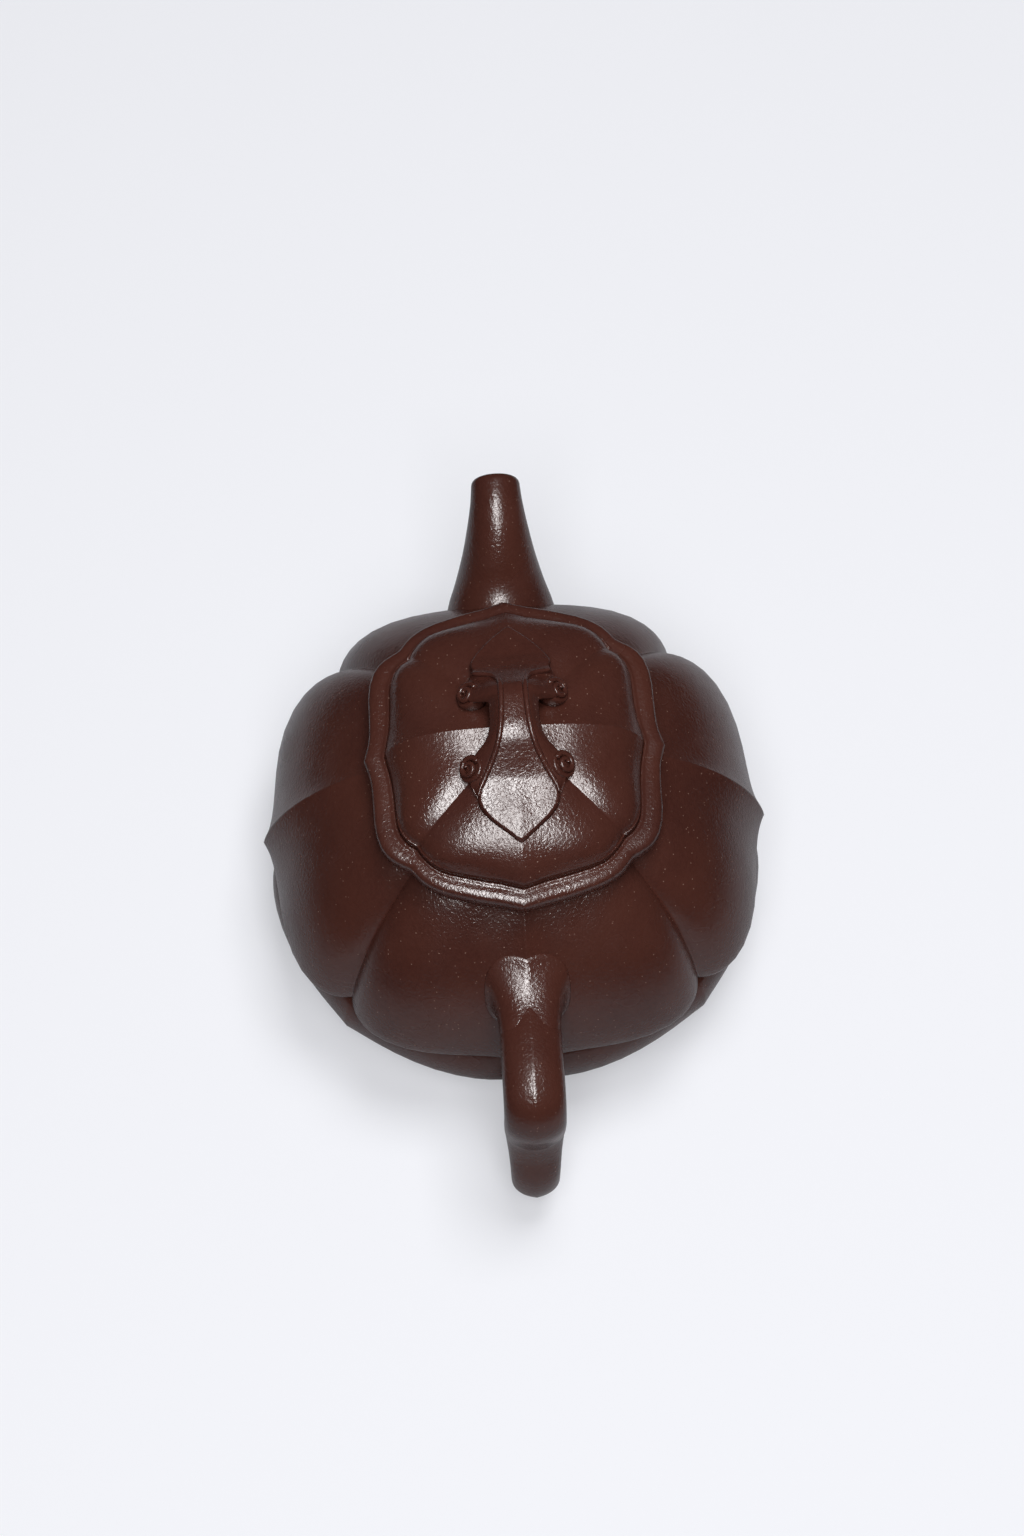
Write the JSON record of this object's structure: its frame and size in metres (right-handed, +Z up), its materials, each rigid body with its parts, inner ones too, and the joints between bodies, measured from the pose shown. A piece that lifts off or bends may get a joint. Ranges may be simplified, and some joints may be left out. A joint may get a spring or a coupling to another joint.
{
  "type": "yixing clay teapot",
  "caption": "Four-lobed unglazed purple-clay teapot with a lift-off lid, ruyi bridge knob, short spout and ear handle.",
  "frame": {"origin": "centre of the flat underside of the base, on the floor under the pot's own axis", "axes": "+Z up, +X towards the spout, -X towards the handle"},
  "size_m": [0.1447, 0.1056, 0.0839],
  "materials": {
    "clay": "satin",
    "clay_inside": "matte"
  },
  "bodies": {
    "pot": {"upper_wall": "clay", "lower_wall": "clay", "base_disc": "clay_inside", "foot_ring": "clay_inside", "mouth_ring": "clay_inside", "strainer": "clay_inside", "spout": "clay", "handle_collar": "clay", "handle": "clay"},
    "lid": {"lid_rim": "clay", "lid_dome": "clay", "lid_flange": "clay_inside", "knob_bridge": "clay", "bead_left": "clay", "bead_right": "clay", "scroll_front_left": "clay", "scroll_front_right": "clay", "scroll_back_left": "clay", "scroll_back_right": "clay", "leaf_front": "clay", "leaf_back": "clay"}
  },
  "joints": [
    {"name": "lid_lift", "type": "slide", "parent": "pot", "child": "lid", "axis": [0, 0, 1], "range_m": [0, 0.04]}
  ]
}
